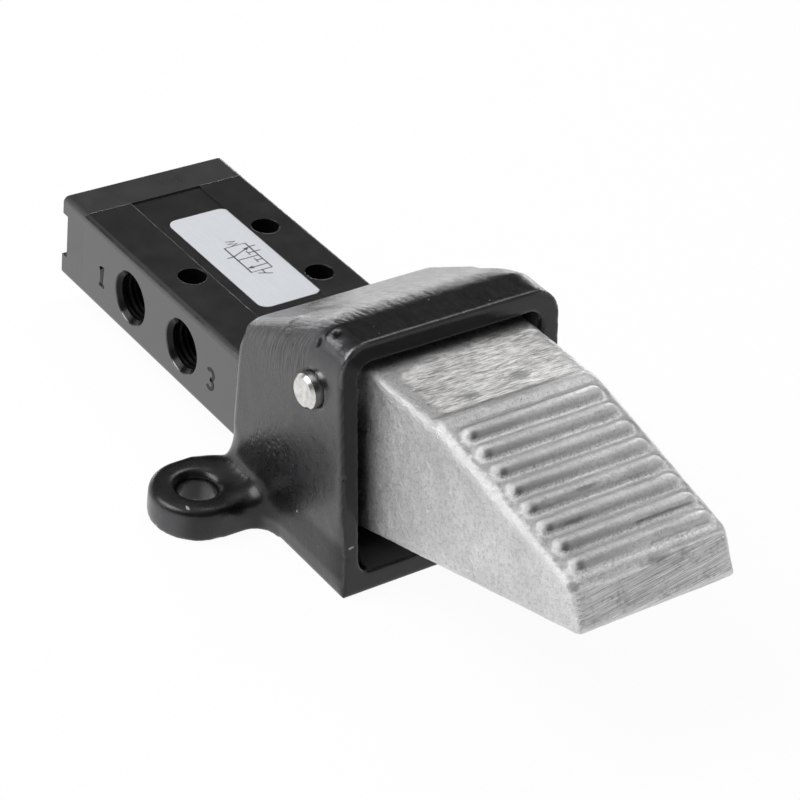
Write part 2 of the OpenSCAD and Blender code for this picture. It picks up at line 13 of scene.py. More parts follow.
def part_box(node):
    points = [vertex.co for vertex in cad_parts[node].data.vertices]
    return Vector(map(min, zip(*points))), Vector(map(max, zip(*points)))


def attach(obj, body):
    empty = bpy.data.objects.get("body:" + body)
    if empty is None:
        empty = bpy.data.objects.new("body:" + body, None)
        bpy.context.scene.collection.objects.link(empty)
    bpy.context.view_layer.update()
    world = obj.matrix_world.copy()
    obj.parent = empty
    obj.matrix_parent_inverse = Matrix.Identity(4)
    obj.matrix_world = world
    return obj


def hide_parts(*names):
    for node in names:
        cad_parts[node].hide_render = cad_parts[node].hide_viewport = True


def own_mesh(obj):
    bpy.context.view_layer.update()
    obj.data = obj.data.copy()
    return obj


MM = 0.001
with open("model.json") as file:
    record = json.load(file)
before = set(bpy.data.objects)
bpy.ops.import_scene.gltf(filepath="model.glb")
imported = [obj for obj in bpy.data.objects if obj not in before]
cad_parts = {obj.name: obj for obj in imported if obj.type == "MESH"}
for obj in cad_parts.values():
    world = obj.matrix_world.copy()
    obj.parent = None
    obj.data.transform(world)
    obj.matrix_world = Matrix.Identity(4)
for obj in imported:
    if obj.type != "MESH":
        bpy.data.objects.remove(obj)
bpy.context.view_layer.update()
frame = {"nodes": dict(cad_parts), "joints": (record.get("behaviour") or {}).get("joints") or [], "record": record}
scene = bpy.context.scene
nodes = frame["nodes"]
mounts = {mount["name"]: mount for mount in frame["record"]["mounts"]}
PORTS = ("exhaust_port", "outlet_port", "supply_port")
hinge = next(joint for joint in frame["joints"] if joint["name"] == "pedal_hinge")

# Places that the dressing needs, all read from the frame
hood_low, hood_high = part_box("pedal_housing")
body_low, body_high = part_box("valve_body")
pivot = Vector(hinge["pos_m"])


# Camera: the view was solved from the photograph's straight edges, and the picture is 800 pixels square

FRAME_PX = 800
FOCAL_PX = 2729.74
SENSOR_MM = 36
VIEW_AZIMUTH, VIEW_ELEVATION, VIEW_ROLL = (math.radians(a) for a in (-39.04, 33.94, 6.64))
VIEW_DISTANCE = 0.6044
VIEW_SHIFT = (0.01112, -0.03567)


def add_camera():
    """The camera looks at the housing's front bottom edge, moved across the view by VIEW_SHIFT."""
    a, e, r = VIEW_AZIMUTH, VIEW_ELEVATION, VIEW_ROLL
    back = Vector((math.sin(a) * math.cos(e), -math.cos(a) * math.cos(e), math.sin(e)))
    level = Vector((math.cos(a), math.sin(a), 0))
    rise = back.cross(level)
    right = math.cos(r) * level + math.sin(r) * rise
    up = math.cos(r) * rise - math.sin(r) * level
    aim = Vector((0, hood_low.y, 0))
    place = aim + back * VIEW_DISTANCE - right * VIEW_SHIFT[0] - up * VIEW_SHIFT[1]
    lens = bpy.data.cameras.new("camera")
    lens.sensor_width = SENSOR_MM
    lens.lens = FOCAL_PX / FRAME_PX * SENSOR_MM
    lens.clip_start = 0.01
    camera = bpy.data.objects.new("camera", lens)
    scene.collection.objects.link(camera)
    turn = Matrix((right, up, back)).transposed().to_4x4()
    camera.matrix_world = Matrix.Translation(place) @ turn
    scene.camera = camera


# Stage and light

FLOOR_REACH = 4.0
FLOOR_DROP = 0.05 * MM
FLOOR_GLOW = 0.95

# Sockets of a Mix node that mixes colours
COLOUR_A, COLOUR_B, COLOUR_OUT = 6, 7, 2

# Brightness of the sky by its height, from 0 at the horizon to 1 overhead
SKY_LOW = ((0.0, 0.97), (0.12, 0.92), (0.2, 0.72), (0.34, 0.12))
SKY_BEHIND = SKY_LOW + ((0.58, 0.10), (0.78, 0.62), (1.0, 0.8))
SKY_AHEAD = SKY_LOW + ((0.8, 0.12), (1.0, 0.35))
SKY_TURN = (-0.3, 0.15)

LAMP_AIM = (0, -0.03, 0.03)
# Name, place, width, depth and power
LAMPS = (
    ("key", (-0.62, 0.34, 0.86), 0.7, 0.7, 8.5),
    ("left_back", (-0.85, 0.55, 0.45), 0.5, 0.4, 0.8),
    ("crest", (0.50, 0.30, 0.88), 0.4, 0.4, 1.8),
    ("back_low", (0.62, 0.95, 0.035), 1.3, 0.06, 2.4),
)


def add_stage():
    """A white floor, which looks evenly lit to the camera and to reflections."""
    corners = [(x * FLOOR_REACH, y * FLOOR_REACH, -FLOOR_DROP) for x, y in ((-1, -1), (1, -1), (1, 1), (-1, 1))]
    mesh = bpy.data.meshes.new("floor")
    mesh.from_pydata(corners, [], [(0, 1, 2, 3)])
    floor = bpy.data.objects.new("floor", mesh)
    scene.collection.objects.link(floor)
    g = Graph("floor_white")
    g.shader.inputs["Base Color"].default_value = (0.92, 0.92, 0.92, 1)
    g.shader.inputs["Roughness"].default_value = 0.9
    g.shader.inputs["Specular IOR Level"].default_value = 0.1
    light = g.add("ShaderNodeEmission")
    light.inputs["Strength"].default_value = 1.0
    path = g.add("ShaderNodeLightPath")
    seen = g.math("MAXIMUM", path.outputs["Is Camera Ray"], path.outputs["Is Glossy Ray"])
    seen = g.math("MAXIMUM", seen, path.outputs["Is Transmission Ray"])
    share = g.math("MULTIPLY", seen, FLOOR_GLOW)
    both = g.add("ShaderNodeMixShader")
    g.link(share, both.inputs[0])
    g.link(g.shader.outputs[0], both.inputs[1])
    g.link(light.outputs[0], both.inputs[2])
    g.link(both.outputs[0], g.out.inputs["Surface"])
    mesh.materials.append(g.material)


def add_lamp(name, place, width, depth, power):
    lamp = bpy.data.lights.new(name, "AREA")
    lamp.shape = "RECTANGLE"
    lamp.size, lamp.size_y, lamp.energy = width, depth, power
    holder = bpy.data.objects.new(name, lamp)
    scene.collection.objects.link(holder)
    holder.location = place
    holder.rotation_euler = (Vector(LAMP_AIM) - Vector(place)).to_track_quat("-Z", "Y").to_euler()


def add_light():
    """A soft studio: a pale horizon, a dim band above it, a soft overhead light and four lamps."""
    world = bpy.data.worlds.new("studio")
    scene.world = world
    world.use_nodes = True
    tree = world.node_tree
    sky = tree.nodes["Background"]
    spot = tree.nodes.new("ShaderNodeTexCoord")
    split = tree.nodes.new("ShaderNodeSeparateXYZ")
    tree.links.new(spot.outputs["Generated"], split.inputs[0])
    ramps = []
    for steps in (SKY_AHEAD, SKY_BEHIND):
        ramp = tree.nodes.new("ShaderNodeValToRGB")
        tree.links.new(split.outputs["Z"], ramp.inputs[0])
        bar = ramp.color_ramp
        while len(bar.elements) < len(steps):
            bar.elements.new(0.5)
        for element, (at, grey) in zip(bar.elements, steps):
            element.position = at
            element.color = (grey, grey, grey, 1)
        ramps.append(ramp.outputs[0])
    side = tree.nodes.new("ShaderNodeMapRange")
    side.inputs["From Min"].default_value, side.inputs["From Max"].default_value = SKY_TURN
    tree.links.new(split.outputs["Y"], side.inputs["Value"])
    both = tree.nodes.new("ShaderNodeMix")
    both.data_type = "RGBA"
    tree.links.new(side.outputs["Result"], both.inputs["Factor"])
    tree.links.new(ramps[0], both.inputs[COLOUR_A])
    tree.links.new(ramps[1], both.inputs[COLOUR_B])
    tree.links.new(both.outputs[COLOUR_OUT], sky.inputs["Color"])
    for lamp in LAMPS:
        add_lamp(*lamp)


# Materials


class Graph:
    """A material's node tree, with short ways to add and link nodes. Patterns follow the object's own space."""

    def __init__(self, name):
        self.material = bpy.data.materials.new(name)
        self.material.use_nodes = True
        self.tree = self.material.node_tree
        self.shader = self.tree.nodes["Principled BSDF"]
        self.out = self.tree.nodes["Material Output"]
        self._spot = None

    def add(self, kind):
        return self.tree.nodes.new(kind)

    def link(self, a, b):
        self.tree.links.new(a, b)

    def put(self, value, socket):
        """Set a constant on a socket, or link another socket to it."""
        if isinstance(value, (int, float, tuple)):
            socket.default_value = value
        else:
            self.link(value, socket)

    def spot(self):
        if self._spot is None:
            self._spot = self.add("ShaderNodeTexCoord").outputs["Object"]
        return self._spot

    def stretched(self, x, y, z, turn=0.0):
        """Coordinates in periods: x, y and z are the pattern's lengths in mm, turned about Y by degrees."""
        fit = self.add("ShaderNodeMapping")
        fit.vector_type = "TEXTURE"
        fit.inputs["Rotation"].default_value = (0, math.radians(turn), 0)
        fit.inputs["Scale"].default_value = (x * MM, y * MM, z * MM)
        self.link(self.spot(), fit.inputs["Vector"])
        return fit.outputs[0]

    def noise(self, x, y=None, z=None, detail=3.0, rough=0.55, turn=0.0):
        pattern = self.add("ShaderNodeTexNoise")
        pattern.inputs["Scale"].default_value = 1.0
        pattern.inputs["Detail"].default_value = detail
        pattern.inputs["Roughness"].default_value = rough
        self.link(self.stretched(x, y or x, z or x, turn), pattern.inputs["Vector"])
        return pattern.outputs["Fac"]

    def cells(self, size):
        pattern = self.add("ShaderNodeTexVoronoi")
        pattern.inputs["Scale"].default_value = 1.0
        self.link(self.stretched(size, size, size), pattern.inputs["Vector"])
        return pattern.outputs["Distance"]

    def attribute(self, name):
        source = self.add("ShaderNodeAttribute")
        source.attribute_name = name
        return source.outputs["Fac"]

    def math(self, how, a, b=0.0):
        step = self.add("ShaderNodeMath")
        step.operation = how
        self.put(a, step.inputs[0])
        self.put(b, step.inputs[1])
        return step.outputs[0]

    def range(self, value, low, high, to_low=0.0, to_high=1.0):
        step = self.add("ShaderNodeMapRange")
        step.clamp = True
        self.link(value, step.inputs["Value"])
        for name, number in (("From Min", low), ("From Max", high), ("To Min", to_low), ("To Max", to_high)):
            step.inputs[name].default_value = number
        return step.outputs["Result"]

    def blend(self, share, a, b):
        """Mix of two colours, each a tuple or a socket."""
        step = self.add("ShaderNodeMix")
        step.data_type = "RGBA"
        self.put(share, step.inputs["Factor"])
        for value, index in ((a, COLOUR_A), (b, COLOUR_B)):
            self.put((*value, 1) if isinstance(value, tuple) else value, step.inputs[index])
        return step.outputs[COLOUR_OUT]

    def bump(self, height, depth_mm, before=None):
        step = self.add("ShaderNodeBump")
        step.inputs["Strength"].default_value = 1.0
        step.inputs["Distance"].default_value = depth_mm * MM
        self.link(height, step.inputs["Height"])
        if before is not None:
            self.link(before, step.inputs["Normal"])
        return step.outputs[0]

    def soft_edges(self, radius_mm):
        step = self.add("ShaderNodeBevel")
        step.samples = 4
        step.inputs["Radius"].default_value = radius_mm * MM
        return step.outputs[0]

    def finish(self, metallic, colour=None, roughness=None, normal=None, specular=None):
        self.shader.inputs["Metallic"].default_value = metallic
        if specular is not None:
            self.shader.inputs["Specular IOR Level"].default_value = specular
        if colour is not None:
            self.put((*colour, 1) if isinstance(colour, tuple) else colour, self.shader.inputs["Base Color"])
        if roughness is not None:
            self.put(roughness, self.shader.inputs["Roughness"])
        if normal is not None:
            self.link(normal, self.shader.inputs["Normal"])
        return self.material


def hood_paint():
    """Satin black paint over a ground casting: streaks along the roof, orange peel on the sides, chips and dust."""
    g = Graph("hood_paint")
    roof, side = g.attribute("roof"), g.attribute("side_streaks")
    along = g.noise(0.6, 6, 6, detail=4, rough=0.6)
    around = g.noise(6, 0.5, 6, detail=4, rough=0.6)
    peel = g.noise(0.8, detail=3)
    swell = g.noise(4.5, detail=2)
    pits = g.range(g.cells(1.3), 0.05, 0.45)
    n = g.bump(peel, 0.03)
    n = g.bump(swell, 0.10, n)
    n = g.bump(g.math("MULTIPLY", along, roof), 0.4, n)
    n = g.bump(g.math("MULTIPLY", around, side), 0.24, n)
    n = g.bump(g.math("MULTIPLY", pits, g.attribute("pitted")), 0.07, n)
    dust = g.range(g.cells(5.5), 0.0, 0.035, 1.0, 0.0)
    bare = g.math("ADD", g.attribute("chip"), g.math("MULTIPLY", g.noise(0.4), 0.6))
    base = g.blend(g.noise(6), (0.0035, 0.0035, 0.004), (0.0055, 0.0055, 0.006))
    # Lighter along the brow's front edge: partly worn paint, partly a painted highlight
    base = g.blend(g.math("MULTIPLY", g.attribute("worn"), 0.16), base, (0.5, 0.5, 0.5))
    base = g.blend(g.math("MULTIPLY", dust, 0.6), base, (0.5, 0.5, 0.5))
    base = g.blend(g.range(bare, 0.62, 0.8), base, (0.36, 0.36, 0.36))
    rough = g.range(g.noise(1.8, detail=4), 0.3, 0.7, 0.15, 0.24)
    rough = g.math("ADD", rough, g.math("MULTIPLY", g.attribute("upright"), 0.09))
    scores = g.math("MULTIPLY", g.range(along, 0.44, 0.6), roof)
    scores = g.math("MAXIMUM", scores, g.math("MULTIPLY", g.range(around, 0.46, 0.62, 0.0, 0.8), side))
    shine = g.math("SUBTRACT", g.range(g.attribute("matt"), 0.0, 1.0, 0.95, 0.38), g.math("MULTIPLY", scores, 0.62))
    shine = g.math("MULTIPLY", shine, g.range(g.attribute("pit"), 0.2, 0.8, 1.0, 0.08))
    g.shader.inputs["Specular Tint"].default_value = (0.965, 0.96, 1.0, 1)
    g.shader.inputs["Coat Weight"].default_value = 0.12
    g.shader.inputs["Coat Roughness"].default_value = 0.25
    g.link(shine, g.shader.inputs["Specular IOR Level"])
    return g.finish(0.0, base, rough, n)


def cast_aluminium():
    """Bare sand casting, ground on the flat and the toe, bright on worn edges, darker in its corners and recesses
    (partly painted shade and shadow), with painted highlights and shade on its ribs.
    """
    g = Graph("cast_aluminium")
    names = ("ground_flat", "ground_toe", "worn", "deep", "band", "stain", "shade", "valley_glint", "cap")
    flat, toe, worn, deep, band, stain, shade, valley_glint, cap = (g.attribute(name) for name in names)
    sand = g.noise(0.34, detail=4, rough=0.7)
    grain = g.noise(0.9, detail=4, rough=0.65)
    lumps = g.noise(2.8, detail=3)
    patch = g.noise(8, detail=4, rough=0.65)
    pits = g.range(g.cells(1.7), 0.02, 0.22)
    lines_flat = g.noise(3.2, 0.45, 3.2, detail=3, rough=0.7)
    wide_flat = g.noise(14, 1.3, 14, detail=3, rough=0.6)
    lines_toe = g.noise(9, 9, 0.22, detail=4, rough=0.7, turn=-6)
    cast = g.math("SUBTRACT", 1.0, g.math("MAXIMUM", flat, toe))
    n = g.bump(g.math("MULTIPLY", sand, cast), 0.26)
    n = g.bump(g.math("MULTIPLY", grain, cast), 0.13, n)
    n = g.bump(g.math("MULTIPLY", pits, cast), 0.06, n)
    n = g.bump(g.math("MULTIPLY", grain, band), 0.12, n)
    n = g.bump(g.math("MULTIPLY", lines_flat, flat), 0.13, n)
    n = g.bump(g.math("MULTIPLY", lines_toe, toe), 0.09, n)
    base = g.blend(g.range(patch, 0.3, 0.7), (0.68, 0.68, 0.68), (0.86, 0.857, 0.85))
    speck = g.range(g.math("ADD", sand, grain), 0.95, 1.2, 0.0, 0.6)
    base = g.blend(g.math("MULTIPLY", speck, cast), base, (0.40, 0.40, 0.405))
    base = g.blend(g.math("MULTIPLY", g.range(pits, 0.0, 0.5, 0.55, 0.0), cast), base, (0.28, 0.28, 0.285))
    broad = g.math("MULTIPLY", g.math("ADD", wide_flat, patch), 0.25)
    bright = g.range(g.math("ADD", lines_flat, broad), 0.6, 0.88)
    base = g.blend(flat, base, g.blend(bright, (0.37, 0.365, 0.355), (0.91, 0.905, 0.89)))
    base = g.blend(toe, base, g.blend(g.range(lines_toe, 0.35, 0.66), (0.74, 0.74, 0.735), (0.34, 0.34, 0.34)))
    clouds = g.math("ADD", g.noise(5, detail=3), grain)
    mottle = g.math("MULTIPLY", toe, g.range(clouds, 1.02, 1.25, 0.0, 0.55))
    base = g.blend(mottle, base, (0.22, 0.22, 0.225))
    # Lighter grainy band below the sides' top edges, partly a painted highlight from the key lamp
    base = g.blend(g.math("MULTIPLY", band, g.range(grain, 0.4, 0.6, 0.1, 0.55)), base, (0.84, 0.84, 0.83))
    dusk = g.range(g.math("ADD", sand, grain), 0.85, 1.15, 0.95, 0.1)
    base = g.blend(g.math("MULTIPLY", shade, dusk), base, (0.34, 0.34, 0.345))
    # Painted shade: a dark crescent beside each rib's left end
    base = g.blend(g.math("MULTIPLY", g.attribute("pocket"), 0.8), base, (0.15, 0.15, 0.155))
    # Painted glints on the valley floors between the ribs, which catch the overhead light
    sparkle = g.range(g.noise(0.6, detail=3, rough=0.7), 0.42, 0.52)
    base = g.blend(g.math("MULTIPLY", valley_glint, sparkle), base, (0.99, 0.99, 0.98))
    # Painted highlight on the ribs' left ends, which face the key lamp
    base = g.blend(g.math("MULTIPLY", cap, g.range(grain, 0.4, 0.6, 0.15, 0.6)), base, (0.9, 0.9, 0.89))
    base = g.blend(g.math("MULTIPLY", worn, g.range(grain, 0.4, 0.6, 0.05, 0.45)), base, (0.88, 0.88, 0.87))
    # Darker corners and recesses, with painted shade at the ribs' feet and a painted shadow at the flat's step
    base = g.blend(g.math("MULTIPLY", deep, 0.6), base, (0.16, 0.16, 0.165))
    cracks = g.range(g.noise(2.6, 0.8, 2.6, detail=5, rough=0.75), 0.60, 0.65)
    base = g.blend(g.math("MULTIPLY", g.math("MULTIPLY", cracks, flat), 0.75), base, (0.18, 0.18, 0.185))
    ragged = g.math("ADD", stain, g.math("MULTIPLY", g.noise(1.6, 0.7, 1.2, detail=5, rough=0.75), 1.4))
    base = g.blend(g.range(ragged, 0.95, 1.35, 0.0, 0.7), base, (0.24, 0.24, 0.245))
    rough = g.range(g.math("ADD", lumps, g.math("MULTIPLY", deep, 0.4)), 0.3, 0.9, 0.27, 0.42)
    rough = g.math("ADD", rough, g.math("MULTIPLY", flat, 0.16))
    return g.finish(1.0, base, rough, n)


def anodised(name, dark, light, low, high, edge_mm=0.13, ports=()):
    """Black anodised aluminium with fine extrusion lines along the bar, softly broken edges and oily ports."""
    g = Graph(name)
    lines = g.noise(0.35, 30, 0.35, detail=3)
    cloud = g.noise(7, detail=3)
    n = g.bump(lines, 0.003, g.soft_edges(edge_mm))
    n = g.bump(g.noise(0.5, detail=2), 0.006, n)
    base = g.blend(cloud, dark, light)
    rough = g.range(cloud, 0.3, 0.7, low, high)
    g.shader.inputs["IOR"].default_value = 1.65
    g.shader.inputs["Specular Tint"].default_value = (1.0, 0.98, 0.985, 1)
    shine = 1.0
    if ports:
        split = g.add("ShaderNodeSeparateXYZ")
        g.link(g.spot(), split.inputs[0])
        for mount in ports:
            across = g.math("SUBTRACT", split.outputs["Y"], mount["pos_m"][1])
            above = g.math("SUBTRACT", split.outputs["Z"], mount["pos_m"][2])
            far = g.math("SQRT", g.math("ADD", g.math("POWER", across, 2.0), g.math("POWER", above, 2.0)))
            edge = mount["dims"]["r_mm"] * MM
            inside = g.range(far, edge + 1.3 * MM, edge + 1.05 * MM)
            outward = g.math("MULTIPLY", split.outputs["X"], mount["axis"][0])
            deep = g.range(outward, body_high.x - 0.1 * MM, body_high.x - 0.3 * MM)
            deep = g.math("MULTIPLY", deep, g.range(outward, 0.0, 1.0 * MM))
            dull = g.range(g.math("MULTIPLY", inside, deep), 0.0, 1.0, 1.0, 0.12)
            shine = dull if isinstance(shine, float) else g.math("MULTIPLY", shine, dull)
    material = g.finish(0.0, base, rough, n)
    g.put(shine, g.shader.inputs["Specular IOR Level"])
    return material


def turned_steel(name, colour, axis, centre, low=0.16, high=0.3, rings_mm=0.28):
    """Turned metal: fine rings about an axis, 0 for X and 1 for Y."""
    g = Graph(name)
    split = g.add("ShaderNodeSeparateXYZ")
    g.link(g.spot(), split.inputs[0])
    across = [i for i in range(3) if i != axis]
    squares = [g.math("POWER", g.math("SUBTRACT", split.outputs[i], centre[i]), 2.0) for i in across]
    radius = g.math("SQRT", g.math("ADD", *squares))
    along = split.outputs[axis]
    waves = g.math("SINE", g.math("MULTIPLY", g.math("ADD", radius, along), 2 * math.pi / (rings_mm * MM)))
    wear = g.noise(1.6, detail=4)
    n = g.bump(waves, 0.004, g.soft_edges(0.15))
    n = g.bump(wear, 0.01, n)
    base = g.blend(g.range(wear, 0.35, 0.7), colour, tuple(0.72 * c for c in colour))
    return g.finish(1.0, base, g.range(wear, 0.3, 0.7, low, high), n)


def plain_metal(name, colour, low, high):
    """Metal with an even, slightly cloudy skin."""
    g = Graph(name)
    spread = g.noise(1.5, detail=4)
    n = g.bump(g.noise(0.4, detail=3), 0.012, g.soft_edges(0.12))
    base = g.blend(g.range(spread, 0.3, 0.7), colour, tuple(0.65 * c for c in colour))
    return g.finish(1.0, base, g.range(spread, 0.3, 0.7, low, high), n)


def rubber():
    """Matt black rubber."""
    g = Graph("seal_rubber")
    grain = g.noise(0.3, detail=3)
    base = g.blend(grain, (0.014, 0.014, 0.014), (0.03, 0.03, 0.03))
    return g.finish(0.0, base, g.range(grain, 0.3, 0.7, 0.55, 0.75), g.bump(grain, 0.01))


def label_foil():
    """Pale silvery film with a faint grain."""
    g = Graph("label_foil")
    grain = g.noise(0.25, 6, 0.25, detail=3)
    cloud = g.noise(8, detail=2)
    base = g.blend(cloud, (0.64, 0.66, 0.70), (0.70, 0.72, 0.755))
    base = g.blend(g.range(grain, 0.4, 0.7, 0.0, 0.3), base, (0.55, 0.57, 0.605))
    return g.finish(0.0, base, g.range(grain, 0.3, 0.7, 0.36, 0.5), g.bump(grain, 0.004), specular=0.4)


def ink(name, colour):
    """Dull print or paint of one colour."""
    g = Graph(name)
    grain = g.noise(0.2, detail=2)
    base = g.blend(grain, colour, tuple(1.6 * c for c in colour))
    return g.finish(0.0, base, g.range(grain, 0.3, 0.7, 0.45, 0.65))


# Dense copies of the castings

WORD = 0xFFFFFFFF
HASH_STEPS = (73856093, 19349663, 83492791)
HASH_SEED, HASH_MIX = 2654435761, 1274126177


def lattice_noise(points, length, seed):
    """Smooth noise from -1 to 1 with about that length, the same at every run."""
    grid = points / length
    cell = np.floor(grid).astype(np.int64)
    part = grid - cell
    part = part * part * (3 - 2 * part)

    def corner(i, j, k):
        a, b, c = ((cell[:, axis] + bit) * HASH_STEPS[axis] for axis, bit in enumerate((i, j, k)))
        n = (a ^ b ^ c ^ seed * HASH_SEED) & WORD
        n = ((n ^ (n >> 13)) * HASH_MIX) & WORD
        return ((n ^ (n >> 16)) & 0xFFFF) / 32767.5 - 1

    total = np.zeros(len(points))
    for i in (0, 1):
        for j in (0, 1):
            for k in (0, 1):
                weight = np.ones(len(points))
                for axis, bit in enumerate((i, j, k)):
                    weight *= part[:, axis] if bit else 1 - part[:, axis]
                total += weight * corner(i, j, k)
    return total


def read_vectors(items, key):
    values = np.zeros(len(items) * 3, np.float32)
    items.foreach_get(key, values)
    return values.reshape(-1, 3).astype(float)


class Casting:
    """A finely meshed copy of a CAD node, whose edges are rounded and whose skin can be shaped and masked."""

    def __init__(self, node, name, voxel, rounds):
        source = bpy.data.objects.new(name, nodes[node].data.copy())
        scene.collection.objects.link(source)
        remesh = source.modifiers.new("even", "REMESH")
        remesh.mode = "VOXEL"
        remesh.voxel_size = voxel
        soften = source.modifiers.new("soften", "SMOOTH")
        soften.factor = 0.5
        soften.iterations = rounds
        bpy.context.view_layer.update()
        ready = source.evaluated_get(bpy.context.evaluated_depsgraph_get())
        mesh = bpy.data.meshes.new_from_object(ready)
        source.modifiers.clear()
        source.data = mesh
        mesh.materials.clear()
        mesh.name = name
        self.object, self.mesh, self.node = source, mesh, node
        mesh.polygons.foreach_set("use_smooth", [True] * len(mesh.polygons))
        self.places = read_vectors(mesh.vertices, "co")
        self.normals = self.fresh_normals()
        ends = np.zeros(len(mesh.edges) * 2, np.int32)
        mesh.edges.foreach_get("vertices", ends)
        self.ends = ends.reshape(-1, 2)

    def fresh_normals(self):
        self.mesh.update()
        return read_vectors(self.mesh.vertex_normals, "vector")

    def around(self, values):
        """Mean of the neighbours' values at each vertex."""
        a, b = self.ends.T
        total = np.zeros_like(values)
        np.add.at(total, a, values[b])
        np.add.at(total, b, values[a])
        count = np.bincount(self.ends.ravel(), minlength=len(values)).clip(1)
        return total / (count[:, None] if values.ndim > 1 else count)

    def bulge(self, rounds):
        """How far the skin stands out of its surroundings: above 0 on ridges and edges, below 0 in corners."""
        even = self.places
        for _ in range(rounds):
            even = self.around(even)
        return ((self.places - even) * self.normals).sum(1)

    def spread(self, values, rounds):
        """Values blurred over the skin."""
        for _ in range(rounds):
            values = 0.5 * values + 0.5 * self.around(values)
        return values

    def round_off(self, share, rounds):
        """Extra rounding where share is above 0."""
        chosen = share > 0
        near_ends = self.ends[chosen[self.ends].any(1)]
        used, ends = np.unique(near_ends, return_inverse=True)
        ends = ends.reshape(-1, 2)
        count = np.bincount(ends.ravel(), minlength=len(used))[:, None]
        places, pull = self.places[used], 0.5 * share[used][:, None]
        for _ in range(rounds):
            total = np.zeros_like(places)
            np.add.at(total, ends[:, 0], places[ends[:, 1]])
            np.add.at(total, ends[:, 1], places[ends[:, 0]])
            places = places + (total / count - places) * pull
        self.places[used] = places
        self.push(np.zeros(len(share)))

    def near(self, place, radius):
        """1 at the skin's point next to a place, falling to 0 at a radius, or at one for each axis; in mm."""
        skin = self.places / MM
        spot = skin[np.linalg.norm(skin - np.array(place), axis=1).argmin()]
        gap = (skin - spot) / (np.array(radius) * np.ones(3))
        return np.clip(1 - np.linalg.norm(gap, axis=1), 0, 1)

    def push(self, depth):
        """Move the skin outwards by a depth, or inwards where it is below 0."""
        self.places = self.places + self.normals * depth[:, None]
        self.mesh.vertices.foreach_set("co", self.places.ravel())
        self.normals = self.fresh_normals()

    def mask(self, name, values):
        """Keep values from 0 to 1 on the mesh, for the material to read by name."""
        layer = self.mesh.attributes.new(name, "FLOAT", "POINT")
        layer.data.foreach_set("value", np.clip(values, 0, 1).astype(np.float32))

    def wear_skin(self, material, body):
        self.mesh.materials.append(material)
        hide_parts(self.node)
        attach(self.object, body)


def ramp_mask(values, low, high):
    """A smooth rise from 0 at low to 1 at high."""
    t = np.clip((values - low) / (high - low), 0, 1)
    return t * t * (3 - 2 * t)


# Half the housing's width over its walls, and how far its ridge lies ahead of its rear
WALL_X_MM, RIDGE_AHEAD_MM = 29.1, 26.6


